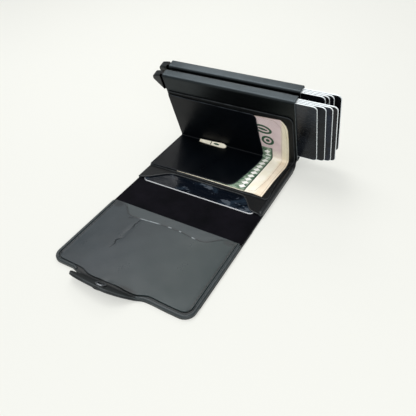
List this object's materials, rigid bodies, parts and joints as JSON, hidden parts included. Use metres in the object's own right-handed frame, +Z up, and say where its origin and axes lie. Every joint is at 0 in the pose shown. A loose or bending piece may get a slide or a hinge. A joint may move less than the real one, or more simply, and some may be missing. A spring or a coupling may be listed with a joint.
{
  "type": "wallet",
  "caption": "Open folding leather wallet with a snap tab, banknote leaf, slip pocket and side-lever card cases holding fanned cards.",
  "frame": {"origin": "middle of the base panel's underside, on the table", "axes": "+X along the folds to the end where the cards come out, -Y to the closing flap, +Z up from the table"},
  "size_m": [0.1402, 0.1844, 0.0698],
  "materials": {
    "cover_leather": "semi-gloss pebbled grain",
    "lining_suede": "matte suede",
    "tray_leather": "semi-gloss",
    "leaf_leather": "gloss",
    "edge_leather": "semi-gloss",
    "note_paper": "matte, printed with plain ornament",
    "card_plastic": "gloss with pale edges",
    "slip_card_plastic": "gloss with a pale edge",
    "case_aluminium": "dark grey anodised satin",
    "lever_plastic": "satin",
    "insert_plastic": "matte",
    "snap_metal": "dark nickel",
    "spring_steel": "bright drawn wire",
    "tape_foam": "matte adhesive pad"
  },
  "bodies": {
    "base": {"outer_cover_base": "cover_leather", "base_lining": "lining_suede", "slip_welt": "lining_suede", "slip_pocket": "tray_leather", "tray_lower": "tray_leather", "notes_lower": "note_paper", "leaf_lower": "leaf_leather"},
    "spine": {"outer_cover_spine": "cover_leather", "spine_lining": "lining_suede"},
    "flap": {"outer_cover_flap": "cover_leather", "flap_lining": "lining_suede", "flap_pocket": "cover_leather"},
    "tab": {"closing_tab": "cover_leather", "snap_socket": "snap_metal", "snap_cap": "snap_metal"},
    "case_block": {"tray_upper": "tray_leather", "notes_upper": "note_paper", "leaf_upper": "leaf_leather", "bottom_strip": "edge_leather", "snap_stud": "snap_metal", "middle_panel": "edge_leather", "tray_tape": "tape_foam", "front_case_tape": "tape_foam", "rear_case_tape": "tape_foam", "front_case": "case_aluminium", "front_lever_pin": "spring_steel", "front_end_cap": "insert_plastic", "front_guide_rail": "insert_plastic", "front_lever_spring": "spring_steel", "rear_case": "case_aluminium", "rear_lever_pin": "spring_steel", "rear_end_cap": "insert_plastic", "rear_guide_rail": "insert_plastic", "rear_lever_spring": "spring_steel"},
    "slip_card": {"slip_card": "slip_card_plastic"},
    "front_lever": {"front_lever": "lever_plastic"},
    "rear_lever": {"rear_lever": "lever_plastic"},
    "front_card_1": {"front_card_1": "card_plastic"},
    "front_card_2": {"front_card_2": "card_plastic"},
    "front_card_3": {"front_card_3": "card_plastic"},
    "front_card_4": {"front_card_4": "card_plastic"},
    "rear_card_1": {"rear_card_1": "card_plastic"},
    "rear_card_2": {"rear_card_2": "card_plastic"},
    "rear_card_3": {"rear_card_3": "card_plastic"},
    "rear_card_4": {"rear_card_4": "card_plastic"}
  },
  "joints": [
    {"name": "spine_fold", "type": "hinge", "parent": "base", "child": "spine", "pos_m": [0, -0.03215, 0.001], "axis": [-1, 0, 0], "range_deg": [0, 90]},
    {"name": "flap_fold", "type": "hinge", "parent": "spine", "child": "flap", "pos_m": [0, -0.05905, 0.001], "axis": [-1, 0, 0], "range_deg": [0, 90]},
    {"name": "tab_fold", "type": "hinge", "parent": "flap", "child": "tab", "pos_m": [0, -0.12545, 0.001], "axis": [-1, 0, 0], "range_deg": [-36, 46]},
    {"name": "case_fold", "type": "hinge", "parent": "base", "child": "case_block", "pos_m": [0, 0.03049, 0.0058], "axis": [1, 0, 0], "range_deg": [-34, 71.8]},
    {"name": "slip_card_slide", "type": "slide", "parent": "base", "child": "slip_card", "axis": [0, 1, 0], "range_m": [-0.027, 0.005]},
    {"name": "front_lever_press", "type": "hinge", "parent": "case_block", "child": "front_lever", "pos_m": [-0.047, 0.03412, 0.0143], "axis": [0, 0.95, 0.3123], "range_deg": [0, 16], "stiffness_Nm_per_rad": 0.15, "springref_deg": -8.59},
    {"name": "front_card_1_slide", "type": "slide", "parent": "case_block", "child": "front_card_1", "axis": [1, 0, 0], "range_m": [-0.016, 0.0561]},
    {"name": "front_card_2_slide", "type": "slide", "parent": "case_block", "child": "front_card_2", "axis": [1, 0, 0], "range_m": [-0.0214, 0.0507]},
    {"name": "front_card_3_slide", "type": "slide", "parent": "case_block", "child": "front_card_3", "axis": [1, 0, 0], "range_m": [-0.0254, 0.0467]},
    {"name": "front_card_4_slide", "type": "slide", "parent": "case_block", "child": "front_card_4", "axis": [1, 0, 0], "range_m": [-0.0283, 0.0438]},
    {"name": "rear_lever_press", "type": "hinge", "parent": "case_block", "child": "rear_lever", "pos_m": [-0.047, 0.04362, 0.01742], "axis": [0, 0.95, 0.3123], "range_deg": [0, 16], "stiffness_Nm_per_rad": 0.15, "springref_deg": -8.59},
    {"name": "rear_card_1_slide", "type": "slide", "parent": "case_block", "child": "rear_card_1", "axis": [1, 0, 0], "range_m": [-0.0178, 0.0543]},
    {"name": "rear_card_2_slide", "type": "slide", "parent": "case_block", "child": "rear_card_2", "axis": [1, 0, 0], "range_m": [-0.0201, 0.052]},
    {"name": "rear_card_3_slide", "type": "slide", "parent": "case_block", "child": "rear_card_3", "axis": [1, 0, 0], "range_m": [-0.0228, 0.0493]},
    {"name": "rear_card_4_slide", "type": "slide", "parent": "case_block", "child": "rear_card_4", "axis": [1, 0, 0], "range_m": [-0.0273, 0.0448]}
  ]
}
